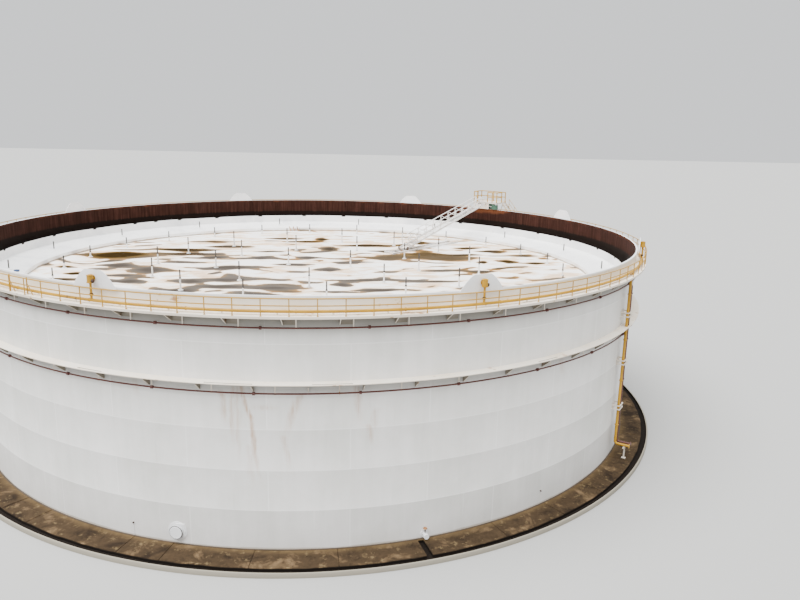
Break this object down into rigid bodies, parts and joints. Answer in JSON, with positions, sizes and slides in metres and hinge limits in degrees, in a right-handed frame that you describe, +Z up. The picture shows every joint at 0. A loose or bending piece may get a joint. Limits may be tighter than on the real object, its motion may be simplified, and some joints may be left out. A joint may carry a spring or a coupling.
{
  "type": "half-scale floating roof tank",
  "caption": "Round open-topped storage tank with a floating pontoon roof, rolling ladder, stiffening girders, rim walkway, spiral stair, fire-water and foam pipework.",
  "frame": {"origin": "middle of the underside of the ring foundation", "axes": "+Z up along the tank's axis, -Y towards the side with the water draw nozzle, the rolling ladder at 44.3 degrees from +X towards +Y"},
  "size_m": [29.7218, 29.7218, 8.6628],
  "materials": {
    "white_steel": "weathered satin white paint",
    "roof_steel": "stained white paint",
    "yellow_paint": "weathered yellow paint",
    "ochre_paint": "weathered ochre paint",
    "maroon_paint": "weathered maroon paint",
    "green_paint": "weathered green paint",
    "dark_steel": "rusted",
    "concrete": "rough"
  },
  "bodies": {
    "tank": {"ring_foundation": "concrete", "foundation_pad": "concrete", "bottom_plate": "dark_steel", "shell_segment_1": "white_steel", "shell_segment_2": "white_steel", "shell_segment_3": "white_steel", "shell_segment_4": "white_steel", "shell_segment_5": "white_steel", "shell_segment_6": "white_steel", "top_girder_1": "white_steel", "top_girder_2": "white_steel", "top_girder_3": "white_steel", "top_girder_4": "white_steel", "mid_girder_1": "white_steel", "mid_girder_2": "white_steel", "mid_girder_3": "white_steel", "mid_girder_4": "white_steel", "walkway_rail_1": "ochre_paint", "walkway_rail_2": "ochre_paint", "walkway_rail_3": "ochre_paint", "walkway_rail_4": "ochre_paint", "foam_ring_main": "yellow_paint", "top_cooling_water_ring": "maroon_paint", "mid_cooling_water_ring": "maroon_paint", "foam_board_1": "white_steel", "foam_board_2": "white_steel", "foam_board_3": "white_steel", "foam_board_4": "white_steel", "foam_board_5": "white_steel", "foam_board_6": "white_steel", "foam_board_7": "white_steel", "foam_board_8": "white_steel", "foam_riser": "yellow_paint", "cooling_water_riser": "maroon_paint", "shell_manway_1": "white_steel", "shell_manway_2": "white_steel", "water_draw_nozzle": "dark_steel", "product_nozzle_1": "white_steel", "product_nozzle_2": "white_steel", "gauger_platform": "white_steel", "walkway_cabinet": "green_paint", "spiral_stair": "white_steel", "stair_handrail": "yellow_paint", "platform_rail_inner": "ochre_paint", "platform_rail_outer": "ochre_paint"},
    "floating_roof": {"roof_deck": "roof_steel", "roof_pontoon_1": "roof_steel", "roof_pontoon_2": "roof_steel", "roof_pontoon_3": "roof_steel", "roof_pontoon_4": "roof_steel", "foam_dam_1": "roof_steel", "foam_dam_2": "roof_steel", "foam_dam_3": "roof_steel", "foam_dam_4": "roof_steel", "ladder_track": "roof_steel"},
    "ladder": {"rolling_ladder": "white_steel"}
  },
  "joints": [
    {"name": "roof_slide", "type": "slide", "parent": "tank", "child": "floating_roof", "axis": [0, 0, 1], "range_m": [-4.81, 0.5]},
    {"name": "ladder_hinge", "type": "hinge", "parent": "tank", "child": "ladder", "pos_m": [9.66186, 9.4286, 7.925], "axis": [-0.6984, 0.7157, 0], "range_deg": [-37.6, 4]}
  ],
  "couplings": [
    {"joint": "ladder_hinge", "follows": "roof_slide", "rad_per_m": 0.13605}
  ]
}
